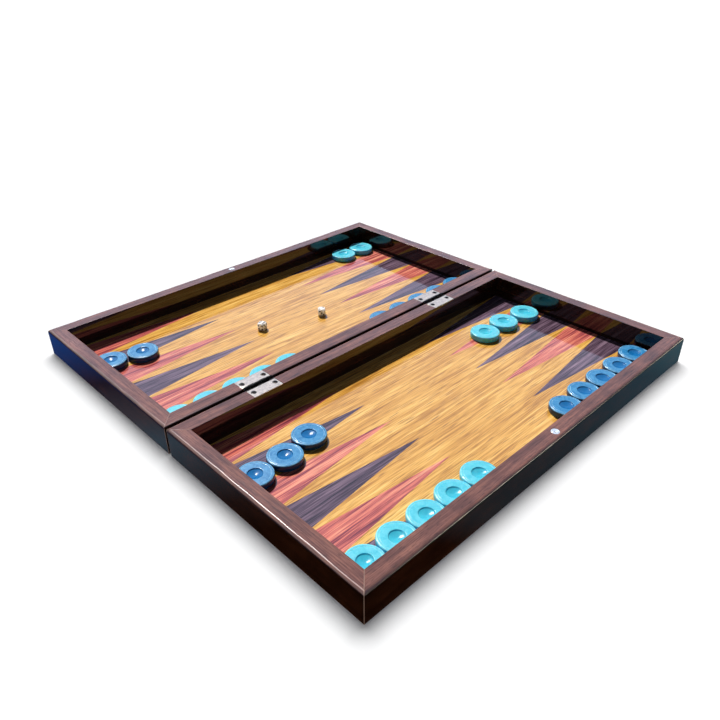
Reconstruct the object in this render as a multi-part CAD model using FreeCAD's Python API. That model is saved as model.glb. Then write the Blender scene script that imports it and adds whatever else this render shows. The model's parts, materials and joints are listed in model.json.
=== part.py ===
"""A folding wooden backgammon board, opened flat, with thirty checkers and two dice on it.

Millimetres, +Z up. The origin is on the plane that the board rests on, under the middle of the open
board. +Y runs along the fold, from the front end rails to the back ones, and +X runs across both halves.
The right half (+X) and the left half (-X) are mirror images, apart from the colours of their points.
"""

import FreeCAD
import Part
import math
import os

# ---- driving dimensions: the board -------------------------------------------------------------
LENGTH = 480.0              # along the fold
HALF_WIDTH = 248.0          # across one half
HALF_HEIGHT = 30.0          # rail top above the resting plane
SEAM = 4.0                  # space between the two halves when open
RAIL = 15.5                 # width of every rail
OUTER_ROUND = 3.2           # radius on the rails' outer top edges
SEAM_ROUND = 1.2            # radius on the top edges beside the seam
INNER_ROUND = 0.4           # radius on the rails' inner top edges
SKIN = 0.8                  # veneer on the outside of the base
PANEL = 2.4                 # plywood base panel
VENEER = 0.8                # playing surface and its inlaid points
REBATE = 5.0                # depth that the base panel is let into the rails
GLUE_GAP = 0.05             # clearance round let-in pieces

POINTS_PER_END = 6          # points at each end of each half
POINT_LENGTH = 160.0        # end rail to tip

# ---- driving dimensions: hinges and magnets -----------------------------------------------------
HINGE_CENTRES = (-138.0, 121.0)      # front and back hinge, along the fold
LEAF_LENGTH = 34.0
LEAF_INNER = 3.6            # from the seam's middle to the flat of the leaf
LEAF_OUTER = 17.2
LEAF_THICKNESS = 1.0
PIN_RISE = 0.1              # pin axis above the rail tops, so the closed rails don't rub
PIN_RADIUS = 0.9
PIN_CLEARANCE = 0.05
KNUCKLE_RADIUS = 1.8
KNUCKLES = 5                # alternate knuckles belong to the right and the left leaf
KNUCKLE_GAP = 0.3
NOTCH_DEPTH = 2.5           # recess for the knuckles in the rails' seam edges
SCREW_SPACING = 25.5        # two screws in each leaf
SCREW_FROM_SEAM = 9.5
SCREW_HEAD_RADIUS = 2.8
SCREW_SHANK_RADIUS = 1.2
SCREW_LENGTH = 10.0
SCREW_TIP = 2.0
RECESS_LENGTH = 3.2         # cross recess in the screw heads
RECESS_WIDTH = 0.7
RECESS_DEPTH = 0.8
FLUSH = 0.05                # screws and magnets sit this far below the surface
MAGNET_RADIUS = 4.0
MAGNET_THICKNESS = 2.5

# ---- driving dimensions: checkers and dice ------------------------------------------------------
CHECKER_RADIUS = 16.75
CHECKER_THICKNESS = 7.0
CHECKER_ROUND = 1.6
CHECKER_SPACING = 34.0      # centre to centre in a row of touching checkers
GROOVE_RADIUS = 13.9        # fine ring turned into each face
GROOVE_DEPTH = 0.25
DISH_RADIUS = 7.4           # round hollow in the middle of each face
DISH_DEPTH = 2.2
DISH_WALL = 0.8             # height of the steep wall round the hollow
DISH_WALL_RUN = 0.5         # how far that wall leans inwards
SITTING_GAP = 0.05          # under loose pieces

DIE = 9.0
DIE_ROUND = 6.3             # radius of the ball that rounds a die's corners
PIP_RADIUS = 0.85
PIP_SPACING = 2.35
PIP_DEPTH = 0.3

RIGHT, LEFT = 1, -1
FRONT, BACK = -1, 1

# Rows of checkers: colour, half, end, point counted from the fold, gap between the end rail and the
# first checker, spacing, and how far each checker strays towards +X from the point's centre line.
ROWS = (
    ("turquoise", RIGHT, FRONT, 5, 0.5, CHECKER_SPACING, (1.0, 1.2, 1.0, 0.9, 0.6)),
    ("turquoise", RIGHT, BACK, 1, 6.0, CHECKER_SPACING + 2.3, (4.0, 0.0, 0.3)),
    ("turquoise", LEFT, FRONT, 0, 0.6, CHECKER_SPACING, (1.1, 1.0, 1.1, 1.0, 1.1)),
    ("turquoise", LEFT, BACK, 5, 4.0, CHECKER_SPACING + 0.4, (6.0, 6.2)),
    ("blue", RIGHT, BACK, 5, 2.5, CHECKER_SPACING + 0.5, (-1.5, -0.8, -0.8, -1.6, -0.8)),
    ("blue", RIGHT, FRONT, 1, 0.5, CHECKER_SPACING, (13.0, 11.0, 3.4)),
    ("blue", LEFT, BACK, 0, 0.8, CHECKER_SPACING, (1.0, 1.1, 1.0, 1.1, 1.0)),
    ("blue", LEFT, FRONT, 4, 0.6, CHECKER_SPACING, (6.0, 13.0)),
)

# Dice: centre along X and Y, turn about Z in degrees, and the numbers on top, in front and at the right.
DICE = (
    (-122.5, -43.0, 24.0, (6, 4, 5)),
    (-100.5, 30.5, 52.0, (2, 3, 1)),
)

# ---- places worked out from them ----------------------------------------------------------------
X_BAR = SEAM / 2                              # seam face of the right half
X_OUT = X_BAR + HALF_WIDTH                    # outer face of the right half
Y_END = LENGTH / 2
X_IN, X_FAR = X_BAR + RAIL, X_OUT - RAIL      # inner faces of its long rails
Y_IN = Y_END - RAIL                           # inner faces of its end rails
POINT_PITCH = (X_FAR - X_IN) / POINTS_PER_END
PANEL_TOP = SKIN + PANEL
FLOOR = PANEL_TOP + VENEER                    # the playing surface
PIN_Z = HALF_HEIGHT + PIN_RISE
MAGNET_X = X_OUT - RAIL / 2
OVERCUT = 1.0                                 # how far cutting tools run past a surface

Z_AXIS = FreeCAD.Vector(0, 0, 1)
Y_AXIS = FreeCAD.Vector(0, 1, 0)


def vec(x, y, z=0.0):
    return FreeCAD.Vector(x, y, z)


def box(x0, x1, y0, y1, z0, z1):
    return Part.makeBox(x1 - x0, y1 - y0, z1 - z0, vec(x0, y0, z0))


def plate(outline, z0, z1):
    """A flat plate with the given outline, a list of (x, y) corners."""
    corners = [vec(x, y, z0) for x, y in outline]
    return Part.Face(Part.makePolygon(corners + corners[:1])).extrude(vec(0, 0, z1 - z0))


def turned(outline, centre, z0):
    """A solid of revolution about a vertical axis, from its half outline of (radius, height) corners."""
    corners = [vec(centre[0] + r, centre[1], z0 + z) for r, z in outline]
    face = Part.Face(Part.makePolygon(corners + corners[:1]))
    return face.revolve(vec(centre[0], centre[1]), Z_AXIS, 360)


def mirrored(shape):
    """The same piece for the left half."""
    return shape.mirror(vec(0, 0), vec(1, 0))


# ---- rails --------------------------------------------------------------------------------------
def rail_section(corner, inward, outer_round):
    """The rail's cross-section: u runs from the outer face inwards, z up, with the base's rebate cut out."""

    def at(u, z):
        return corner + inward * u + vec(0, 0, z)

    def rounded(u, z, sign, radius):
        """Start, middle and end of the quarter circle at a top corner."""
        slant = radius * (1 - math.sqrt(0.5))
        side, middle, top = at(u, z - radius), at(u + sign * slant, z - slant), at(u + sign * radius, z)
        return (side, middle, top) if sign > 0 else (top, middle, side)

    outer = rounded(0, HALF_HEIGHT, 1, outer_round)
    inner = rounded(RAIL, HALF_HEIGHT, -1, INNER_ROUND)
    ring = [inner[2], at(RAIL, PANEL_TOP), at(RAIL - REBATE, PANEL_TOP), at(RAIL - REBATE, SKIN),
            at(0, SKIN), outer[0]]
    edges = [Part.LineSegment(a, b).toShape() for a, b in zip(ring, ring[1:])]
    edges += [Part.Arc(*outer).toShape(), Part.LineSegment(outer[2], inner[0]).toShape(),
              Part.Arc(*inner).toShape()]
    return Part.Face(Part.Wire(Part.__sortEdges__(edges)))


def rail(start, along, inward, length, outer_round):
    """One rail, mitred at 45 degrees at both ends."""
    bar = rail_section(start, inward, outer_round).extrude(along * length)
    plan = [start, start + along * length, start + along * (length - RAIL) + inward * RAIL,
            start + along * RAIL + inward * RAIL]
    return bar.common(plate([(p.x, p.y) for p in plan], 0, HALF_HEIGHT + OVERCUT))


def right_rails():
    """The four rails of the right half, before their mortises and holes."""
    east, north = vec(1, 0), vec(0, 1)
    return {
        "bar_rail": rail(vec(X_BAR, -Y_END), north, east, LENGTH, SEAM_ROUND),
        "outer_rail": rail(vec(X_OUT, -Y_END), north, -east, LENGTH, OUTER_ROUND),
        "front_rail": rail(vec(X_BAR, -Y_END), east, north, HALF_WIDTH, OUTER_ROUND),
        "back_rail": rail(vec(X_BAR, Y_END), east, -north, HALF_WIDTH, OUTER_ROUND),
    }


# ---- base and playing surface -------------------------------------------------------------------
def outer_skin():
    return box(X_BAR, X_OUT, -Y_END, Y_END, 0, SKIN)


def base_panel():
    grow = REBATE - GLUE_GAP
    return box(X_IN - grow, X_FAR + grow, -Y_IN - grow, Y_IN + grow, SKIN, PANEL_TOP)


def point_outline(end, index):
    """Corners of one point of the right half: its base on the end rail, and its tip."""
    x0 = X_IN + index * POINT_PITCH
    base, tip = end * Y_IN, end * (Y_IN - POINT_LENGTH)
    return [(x0, base), (x0 + POINT_PITCH / 2, tip), (x0 + POINT_PITCH, base)]


def is_red(side, end, index):
    """Points alternate in colour along each end of the whole board, from red at the front left."""
    column = POINTS_PER_END + index if side == RIGHT else POINTS_PER_END - 1 - index
    return (column % 2 == 0) == (end == FRONT)


def points(side, red):
    """All the points of one colour in one half, as loose triangles in one compound."""
    places = [(end, index) for end in (FRONT, BACK) for index in range(POINTS_PER_END)]
    solids = [plate(point_outline(*place), PANEL_TOP, FLOOR) for place in places
              if is_red(side, *place) == red]
    if side == LEFT:
        solids = [mirrored(solid) for solid in solids]
    return Part.makeCompound(solids)


def play_surface():
    """The ground veneer: the floor's outline with the points' triangles left out of both ends."""
    zigzag = {}
    for end in (FRONT, BACK):
        outlines = [point_outline(end, index) for index in range(POINTS_PER_END)]
        zigzag[end] = [corner for outline in outlines for corner in outline[:2]] + [outlines[-1][2]]
    return plate(zigzag[FRONT] + zigzag[BACK][::-1], PANEL_TOP, FLOOR)


# ---- hinges, screws and magnets -----------------------------------------------------------------
def screw_solid(x, y, grow=0.0):
    """A countersunk wood screw under the leaf's surface; grow makes the hole that it sits in."""
    head, shank = SCREW_HEAD_RADIUS + grow, SCREW_SHANK_RADIUS + grow
    cone = SCREW_HEAD_RADIUS - SCREW_SHANK_RADIUS
    top = OVERCUT if grow else 0.0
    outline = [(0, top), (head, top), (head, 0), (shank, -cone), (shank, SCREW_TIP - SCREW_LENGTH),
               (0, -SCREW_LENGTH - grow)]
    return turned(outline, (x, y), HALF_HEIGHT - FLUSH)


def screw_places(hinge_y):
    return [(SCREW_FROM_SEAM, hinge_y + side * SCREW_SPACING / 2) for side in (-1, 1)]


def screws():
    """The four screws of the right half, with their cross recesses."""
    solids = []
    top = HALF_HEIGHT - FLUSH
    for hinge_y in HINGE_CENTRES:
        for x, y in screw_places(hinge_y):
            solid = screw_solid(x, y)
            for half_x, half_y in ((RECESS_LENGTH / 2, RECESS_WIDTH / 2), (RECESS_WIDTH / 2, RECESS_LENGTH / 2)):
                solid = solid.cut(box(x - half_x, x + half_x, y - half_y, y + half_y,
                                      top - RECESS_DEPTH, top + OVERCUT))
            solids.append(solid)
    return Part.makeCompound(solids)


def leaf(hinge_y, first):
    """One leaf lying to the +X side of its pin, holding every second knuckle from the given one."""
    low, high = HALF_HEIGHT - LEAF_THICKNESS, HALF_HEIGHT
    half = LEAF_LENGTH / 2
    body = box(LEAF_INNER, LEAF_OUTER, hinge_y - half, hinge_y + half, low, high)
    step = LEAF_LENGTH / KNUCKLES
    for number in range(first, KNUCKLES, 2):
        y0 = hinge_y - half + number * step + KNUCKLE_GAP / 2
        y1 = y0 + step - KNUCKLE_GAP
        barrel = Part.makeCylinder(KNUCKLE_RADIUS, y1 - y0, vec(0, y0, PIN_Z), Y_AXIS)
        body = body.fuse([barrel, box(0, LEAF_INNER, y0, y1, low, high)])
    bore = Part.makeCylinder(PIN_RADIUS + PIN_CLEARANCE, LEAF_LENGTH + 2 * OVERCUT,
                             vec(0, hinge_y - half - OVERCUT, PIN_Z), Y_AXIS)
    holes = [screw_solid(x, y, GLUE_GAP) for x, y in screw_places(hinge_y)]
    return body.cut([bore] + holes).removeSplitter()


def pin(hinge_y):
    return Part.makeCylinder(PIN_RADIUS, LEAF_LENGTH, vec(0, hinge_y - LEAF_LENGTH / 2, PIN_Z), Y_AXIS)


def hinge_mortises():
    """What the right bar rail loses: pockets for the leaves, notches for the knuckles and screw holes."""
    tools = []
    reach = LEAF_LENGTH / 2 + GLUE_GAP
    for hinge_y in HINGE_CENTRES:
        y0, y1 = hinge_y - reach, hinge_y + reach
        pocket_floor = HALF_HEIGHT - LEAF_THICKNESS - GLUE_GAP
        tools.append(box(LEAF_INNER - GLUE_GAP, X_IN + OVERCUT, y0, y1, pocket_floor, HALF_HEIGHT + OVERCUT))
        tools.append(box(X_BAR - OVERCUT, LEAF_INNER, y0, y1, HALF_HEIGHT - NOTCH_DEPTH, HALF_HEIGHT + OVERCUT))
        tools += [screw_solid(x, y, GLUE_GAP) for x, y in screw_places(hinge_y)]
    return tools


def magnet(grow=0.0):
    """A disc let into the top of the outer rail; grow makes its pocket, which is open at the top."""
    base = HALF_HEIGHT - FLUSH - MAGNET_THICKNESS - grow
    height = MAGNET_THICKNESS + (OVERCUT if grow else 0.0)
    return Part.makeCylinder(MAGNET_RADIUS + grow, height, vec(MAGNET_X, 0, base), Z_AXIS)


# ---- checkers -----------------------------------------------------------------------------------
def face_outline():
    """Half outline of a checker's upper face and edge, from the middle of the edge to the axis."""
    half = CHECKER_THICKNESS / 2
    steps = 6
    outline = []
    for step in range(steps + 1):
        turn = math.pi / 2 * step / steps
        outline.append((CHECKER_RADIUS - CHECKER_ROUND * (1 - math.cos(turn)),
                        half - CHECKER_ROUND * (1 - math.sin(turn))))
    outline += [(GROOVE_RADIUS + GROOVE_DEPTH, half), (GROOVE_RADIUS, half - GROOVE_DEPTH),
                (GROOVE_RADIUS - GROOVE_DEPTH, half)]
    outline.append((DISH_RADIUS, half))
    bowl_radius = DISH_RADIUS - DISH_WALL_RUN
    for step in range(steps + 1):
        share = 1 - step / steps
        outline.append((bowl_radius * share, half - DISH_DEPTH + (DISH_DEPTH - DISH_WALL) * share ** 2))
    return outline


def checker(x, y):
    upper = face_outline()
    lower = [(r, -z) for r, z in reversed(upper)]
    return turned(upper + lower, (x, y), FLOOR + SITTING_GAP + CHECKER_THICKNESS / 2)


def row_places(side, end, index, inset, spacing, strays):
    """Centres of one row's checkers, from the end rail inwards."""
    x = side * (X_IN + (index + 0.5) * POINT_PITCH)
    first = Y_IN - inset - CHECKER_RADIUS
    return [(x + stray, end * (first - number * spacing)) for number, stray in enumerate(strays)]


def checkers():
    """Every checker by name, numbered by colour."""
    made = {}
    counts = {"turquoise": 0, "blue": 0}
    for colour, *row in ROWS:
        for place in row_places(*row):
            counts[colour] += 1
            made["%s_checker_%02d" % (colour, counts[colour])] = checker(*place)
    return made


# ---- dice ---------------------------------------------------------------------------------------
def pip_places(number):
    """Places of the pips on a face, in units of the pip spacing."""
    corners = [(-1, -1), (1, 1), (-1, 1), (1, -1)]
    places = [(0, 0)] if number % 2 else []
    places += corners[:2] if number >= 2 else []
    places += corners[2:] if number >= 4 else []
    places += [(-1, 0), (1, 0)] if number == 6 else []
    return places


def die(x, y, turn, numbers):
    """A cube with rounded corners and dimpled pips. Opposite faces add up to seven."""
    half = DIE / 2
    solid = box(-half, half, -half, half, -half, half).common(Part.makeSphere(DIE_ROUND))
    top, front, right = numbers
    faces = ((top, 2, 1), (7 - top, 2, -1), (front, 1, -1), (7 - front, 1, 1), (right, 0, 1), (7 - right, 0, -1))
    ball = (PIP_RADIUS ** 2 + PIP_DEPTH ** 2) / (2 * PIP_DEPTH)     # radius that makes a pip's shallow cap
    dimples = []
    for number, axis, sign in faces:
        for a, b in pip_places(number):
            centre = [0.0, 0.0, 0.0]
            centre[axis] = sign * (half - PIP_DEPTH + ball)
            centre[(axis + 1) % 3], centre[(axis + 2) % 3] = a * PIP_SPACING, b * PIP_SPACING
            dimples.append(Part.makeSphere(ball, vec(*centre)))
    solid = solid.cut(dimples)
    solid.rotate(vec(0, 0), Z_AXIS, turn)
    solid.translate(vec(x, y, FLOOR + SITTING_GAP + half))
    return solid


# ---- the whole set ------------------------------------------------------------------------------
def build():
    """Every piece by node name."""
    pieces = {}
    rails = right_rails()
    rails["bar_rail"] = rails["bar_rail"].cut(hinge_mortises())
    rails["outer_rail"] = rails["outer_rail"].cut(magnet(GLUE_GAP))
    paired = dict(rails, outer_skin=outer_skin(), base_panel=base_panel(), play_surface=play_surface(),
                  magnet=magnet(), hinge_screws=screws())
    for name, shape in paired.items():
        pieces["right_" + name] = shape
        pieces["left_" + name] = mirrored(shape)
    for word, side in (("right", RIGHT), ("left", LEFT)):
        pieces[word + "_red_points"] = points(side, red=True)
        pieces[word + "_dark_points"] = points(side, red=False)
    for word, hinge_y in zip(("front", "back"), HINGE_CENTRES):
        pieces[word + "_hinge_right_leaf"] = leaf(hinge_y, 0)
        pieces[word + "_hinge_left_leaf"] = mirrored(leaf(hinge_y, 1))
        pieces[word + "_hinge_pin"] = pin(hinge_y)
    pieces.update(checkers())
    for number, place in enumerate(DICE, start=1):
        pieces["die_%d" % number] = die(*place)
    return pieces


os.makedirs("parts", exist_ok=True)
for node, shape in build().items():
    shape.exportStep("parts/%s.step" % node)
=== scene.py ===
"""The looks of a folding backgammon set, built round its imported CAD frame.

Metres, +Z up, in the frame's own axes: +Y runs along the fold and +X across both halves. Sizes that the
frame doesn't give are written in millimetres and turned into metres with MM.
"""

import json
import math
import random

import bmesh
import bpy
from mathutils import Matrix, Vector, noise

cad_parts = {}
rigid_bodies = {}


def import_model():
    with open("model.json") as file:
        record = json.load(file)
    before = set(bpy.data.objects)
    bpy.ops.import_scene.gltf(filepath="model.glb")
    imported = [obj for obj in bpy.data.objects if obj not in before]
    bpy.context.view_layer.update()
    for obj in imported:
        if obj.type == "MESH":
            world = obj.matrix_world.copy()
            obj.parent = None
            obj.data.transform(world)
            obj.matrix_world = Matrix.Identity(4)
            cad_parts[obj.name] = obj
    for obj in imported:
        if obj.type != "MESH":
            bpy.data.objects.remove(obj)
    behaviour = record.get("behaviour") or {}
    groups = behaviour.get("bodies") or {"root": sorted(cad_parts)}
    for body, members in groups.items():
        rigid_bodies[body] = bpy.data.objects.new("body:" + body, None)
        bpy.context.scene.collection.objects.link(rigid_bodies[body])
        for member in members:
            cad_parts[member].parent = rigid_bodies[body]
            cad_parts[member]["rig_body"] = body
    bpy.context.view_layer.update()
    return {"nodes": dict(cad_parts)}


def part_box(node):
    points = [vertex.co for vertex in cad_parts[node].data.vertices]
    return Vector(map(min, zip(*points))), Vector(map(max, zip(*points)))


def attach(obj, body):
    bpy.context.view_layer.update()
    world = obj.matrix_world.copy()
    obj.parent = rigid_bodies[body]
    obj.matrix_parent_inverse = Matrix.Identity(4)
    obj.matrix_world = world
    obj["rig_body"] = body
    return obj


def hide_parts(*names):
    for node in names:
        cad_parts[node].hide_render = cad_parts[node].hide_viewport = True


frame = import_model()

MM = 0.001
NODES = frame["nodes"]
HALVES = {"right": 1, "left": -1}

# ---- sizes of the details ------------------------------------------------------------------------
OUTER_ROUND = 3.2 * MM        # rails' outer top edges
SEAM_ROUND = 1.2 * MM         # top edges beside the seam
INNER_ROUND = 0.4 * MM
FOOT_EASE = 0.15 * MM         # chamfer along the rails' lower outer edges
MITRE_EASE = 0.15 * MM        # chamfer on both sides of each mitre
MITRE_LINE = 0.38             # half width of the painted highlight line along each mitre, in millimetres
REBATE = 5.0 * MM
ARC_STEPS = 10
RAIL_STEP = 7.0 * MM          # spacing of the sections along a rail
ROUND_WAVE = 0.26             # how much the hand-sanded outer radius changes along a rail
ROUND_WAVELENGTH = 30.0 * MM
INLAY_EASE = 0.06 * MM        # chamfer round each veneer, which leaves the inlay's hairline
SKIN_EASE = 0.2 * MM
WELD = 0.001 * MM             # points closer than this, in a CAD mesh, are one

LEAF_FLAT = 3.6 * MM          # from the seam's middle to the flat of a hinge leaf
LEAF_THICKNESS = 1.0 * MM
LEAF_CORNER = 1.1 * MM
LEAF_EASE = 0.45 * MM
STAMP = (9.0 * MM, 15.0 * MM, 0.2 * MM)      # sunk panel between the screws: across, along, depth
KNUCKLES = 5
KNUCKLE_GAP = 0.3 * MM
PIN_CLEARANCE = 0.05 * MM
MORTISE_GAP = 0.05 * MM
NOTCH_DEPTH = 2.5 * MM
SCREW_SPACING = 25.5 * MM
SCREW_FROM_SEAM = 9.5 * MM
SCREW_HEAD = 2.8 * MM
SCREW_SHANK = 1.2 * MM
SCREW_LENGTH = 10.0 * MM
SUNK = 0.05 * MM              # screws and magnets sit this far below the surface
CROSS_ARM = 1.75 * MM
CROSS_WIDTH = 0.5 * MM        # half the width of a driver slot
CROSS_DEPTH = 1.1 * MM

EDGE_ROUND = 1.5 * MM         # checkers' outer edges
RING_RADIUS = 13.9 * MM       # fine ring turned into each face
RING_WIDTH = 0.55 * MM
RING_DEPTH = 0.2 * MM
DISH_RADIUS = 7.4 * MM        # round hollow in the middle of each face
DISH_DEPTH = 2.2 * MM
DISH_WALL = 0.8 * MM          # height of the steep wall round the hollow
LIP_ROUND = 0.5 * MM
FLAT_MARGIN = 0.12 * MM       # keeps the flats between the roundings truly flat
LATHE_STEPS = 112
BOWL_STEPS = 9
RING_STEPS = 6

DIE_GRID = 68                 # squares along each edge of a die's face
DIE_EDGE_ROUND = 0.9 * MM
DIE_BALL = 6.3 * MM           # radius of the ball that cuts a die's corners
PIP_RADIUS = 1.1 * MM
PIP_SPACING = 2.35 * MM
PIP_DEPTH = 0.3 * MM
DIE_WELD = 0.002 * MM         # points closer than this, along a die's edges, become one
DICE = {"die_1": (24.0, (6, 4, 5)), "die_2": (52.0, (2, 3, 1))}    # turn; top, front and right numbers


# ---- meshes --------------------------------------------------------------------------------------
def scene_object(name, data):
    made = bpy.data.objects.new(name, data)
    bpy.context.scene.collection.objects.link(made)
    return made


def strips(rings, count):
    """Quads between successive closed rings of count points each."""
    quads = []
    for ring in range(rings - 1):
        low, high = ring * count, (ring + 1) * count
        for i in range(count):
            following = (i + 1) % count
            quads.append((low + i, low + following, high + following, high + i))
    return quads


def capped(rings, count):
    """Strips between successive rings, and a face across the first ring and the last."""
    last = (rings - 1) * count
    return strips(rings, count) + [tuple(range(count)), tuple(range(last, last + count))]


def mesh_object(name, verts, faces):
    """A new closed mesh object with its normals facing outwards."""
    mesh = bpy.data.meshes.new(name)
    mesh.from_pydata(verts, [], faces)
    work = bmesh.new()
    work.from_mesh(mesh)
    bmesh.ops.recalc_face_normals(work, faces=work.faces)
    work.to_mesh(mesh)
    work.free()
    return scene_object(name, mesh)


def prism(name, outline, z0, z1, ease=0.0):
    """An upright prism on an outline of (x, y) corners, with its top edges rounded by ease."""
    verts = [(x, y, z) for z in (z0, z1) for x, y in outline]
    made = mesh_object(name, verts, capped(2, len(outline)))
    if ease:
        work = bmesh.new()
        work.from_mesh(made.data)
        rim = [edge for edge in work.edges if all(vert.co.z > z1 - 1e-9 for vert in edge.verts)]
        bmesh.ops.bevel(work, geom=rim, offset=ease, segments=3, profile=0.5, affect="EDGES")
        work.to_mesh(made.data)
        work.free()
    return made


def block(name, x0, x1, y0, y1, z0, z1):
    return prism(name, [(x0, y0), (x1, y0), (x1, y1), (x0, y1)], z0, z1)


def lathe(name, outline, steps=LATHE_STEPS, axis="Z"):
    """A closed solid turned about an axis, from (radius, height) points that start and end on the axis."""
    rings = [point for point in outline if point[0] > 0]
    verts = [(r * math.cos(math.tau * i / steps), r * math.sin(math.tau * i / steps), z)
             for r, z in rings for i in range(steps)]
    faces = strips(len(rings), steps)
    for ring, (_, height) in ((0, outline[0]), (len(rings) - 1, outline[-1])):
        centre = len(verts)
        verts.append((0, 0, height))
        faces += [(centre, ring * steps + i, ring * steps + (i + 1) % steps) for i in range(steps)]
    if axis == "Y":
        verts = [(x, z, -y) for x, y, z in verts]
    return mesh_object(name, verts, faces)


def arc(centre, radius, start, end, steps):
    """Points on an arc, angles in degrees."""
    turns = [math.radians(start + (end - start) * step / steps) for step in range(steps + 1)]
    return [(centre[0] + radius * math.cos(turn), centre[1] + radius * math.sin(turn)) for turn in turns]


def combine(target, tools, operation):
    """Cuts the tools from the target or joins them to it, and removes them."""
    for tool in tools:
        step = target.modifiers.new("combine", "BOOLEAN")
        step.operation = operation
        step.solver = "EXACT"
        step.object = tool
    shown = bpy.context.evaluated_depsgraph_get()
    solid = bpy.data.meshes.new_from_object(target.evaluated_get(shown))
    target.modifiers.clear()
    target.data = solid
    for tool in tools:
        bpy.data.objects.remove(tool)
    return target


def placed(piece, x, y, z, turn=0.0):
    """The piece moved to a place, and turned about its own upright axis by an angle in degrees."""
    piece.location = (x, y, z)
    piece.rotation_euler = (0, 0, math.radians(turn))
    return piece


def settled(piece):
    """The piece with its place moved into its mesh, ready to be joined or cut."""
    bpy.context.view_layer.update()
    piece.data.transform(piece.matrix_world)
    piece.matrix_world = Matrix.Identity(4)
    return piece


def smooth(piece, angle=38.0):
    """Shades round surfaces smooth and keeps flat faces flat."""
    piece.data.shade_smooth()
    piece.data.set_sharp_from_angle(angle=math.radians(angle))
    step = piece.modifiers.new("flat_faces", "WEIGHTED_NORMAL")
    step.keep_sharp = True
    return piece


def stand_for(piece, node, *materials):
    """The piece is shown in place of a CAD node: it rides on that node's body and takes its finish."""
    piece.data.materials.clear()
    for material in materials:
        piece.data.materials.append(material)
    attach(piece, NODES[node]["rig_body"])
    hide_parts(node)
    return piece


def finish_node(node, material, ease):
    """A CAD node that stays: its material, and fine chamfers along its edges."""
    piece = NODES[node]
    piece.data.materials.clear()
    piece.data.materials.append(material)
    weld = piece.modifiers.new("weld", "WELD")
    weld.merge_threshold = WELD
    chamfer = piece.modifiers.new("ease", "BEVEL")
    chamfer.width = ease
    chamfer.segments = 2
    chamfer.limit_method = "ANGLE"
    chamfer.angle_limit = math.radians(40)
    chamfer.harden_normals = False


# ---- node trees ----------------------------------------------------------------------------------
def grey(level):
    """A neutral colour, or a size that is the same along X, Y and Z."""
    return (level, level, level)


class Nodes:
    """A node tree under construction. Every input is either another node's output or a plain value."""

    def __init__(self, tree):
        self.tree = tree
        self.coordinates = self.node("ShaderNodeTexCoord", {}, output=None)

    def node(self, kind, inputs, output=0, **settings):
        made = self.tree.nodes.new(kind)
        for key, value in settings.items():
            setattr(made, key, value)
        for key, value in inputs.items():
            self.join(value, made.inputs[key])
        return made if output is None else made.outputs[output]

    def join(self, value, socket):
        if isinstance(value, bpy.types.NodeSocket):
            self.tree.links.new(value, socket)
        elif socket.type == "RGBA" and len(value) == 3:
            socket.default_value = (*value, 1.0)
        else:
            socket.default_value = value

    def vector(self, operation, a, b):
        return self.node("ShaderNodeVectorMath", {0: a, 1: b}, operation=operation)

    def math(self, operation, a, b=0.0):
        return self.node("ShaderNodeMath", {0: a, 1: b}, operation=operation)

    def part(self, vector, axis):
        return self.node("ShaderNodeSeparateXYZ", {0: vector}, output=axis)

    def joined(self, x, y, z):
        return self.node("ShaderNodeCombineXYZ", {0: x, 1: y, 2: z})

    def mix(self, share, a, b):
        """A colour that goes from a to b as the share goes from 0 to 1."""
        return self.node("ShaderNodeMix", {0: share, 6: a, 7: b}, output=2, data_type="RGBA")

    def ramp(self, value, stops):
        """A colour or grey level for each value; stops are (position, colour or level)."""
        made = self.node("ShaderNodeValToRGB", {}, output=None)
        marks = made.color_ramp.elements
        while len(marks) < len(stops):
            marks.new(0.5)
        for mark, (position, colour) in zip(marks, stops):
            mark.position = position
            mark.color = (colour, colour, colour, 1) if isinstance(colour, float) else (*colour, 1)
        self.join(value, made.inputs[0])
        return made.outputs[0]


class Paint(Nodes):
    """A material under construction. Its textures are laid out in millimetres of the part's own frame."""

    def __init__(self, name):
        self.material = bpy.data.materials.new(name)
        self.material.use_nodes = True
        super().__init__(self.material.node_tree)
        self.surface = self.tree.nodes["Principled BSDF"]
        self.place = self.vector("MULTIPLY", self.coordinates.outputs["Object"], grey(1 / MM))

    def noise(self, sizes, detail=3.0, roughness=0.5, distortion=0.0, place=None, shift=0.0):
        """Noise from 0 to 1 whose features have about these sizes in millimetres along X, Y and Z."""
        where = self.vector("DIVIDE", place or self.place, sizes)
        where = self.vector("ADD", where, grey(shift))
        return self.node("ShaderNodeTexNoise", {"Vector": where, "Scale": 1.0, "Detail": detail,
                                                "Roughness": roughness, "Distortion": distortion})

    def bump(self, height, depth, under=None):
        """A relief of this depth in millimetres, laid over another one."""
        inputs = {"Height": height, "Distance": depth * MM, "Strength": 1.0}
        if under:
            inputs["Normal"] = under
        return self.node("ShaderNodeBump", inputs)

    def finish(self, **inputs):
        for key, value in inputs.items():
            self.join(value, self.surface.inputs[key.replace("_", " ")])
        return self.material


def along(axis, across, length):
    """Feature sizes for fibres along an axis."""
    sizes = list(grey(across))
    sizes[axis] = length
    return sizes


def fibre_place(paint, axis, wander):
    """Frame coordinates whose fibres run along an axis and drift sideways by up to wander millimetres."""
    drift = paint.math("SUBTRACT", paint.noise(along(axis, 90.0, 260.0), detail=1.0, shift=3.7), 0.5)
    drift = paint.math("MULTIPLY", drift, 2 * wander)
    parts = [0.0, 0.0, 0.0]
    parts[1 - axis] = drift
    return paint.vector("ADD", paint.place, paint.joined(*parts))


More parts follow.
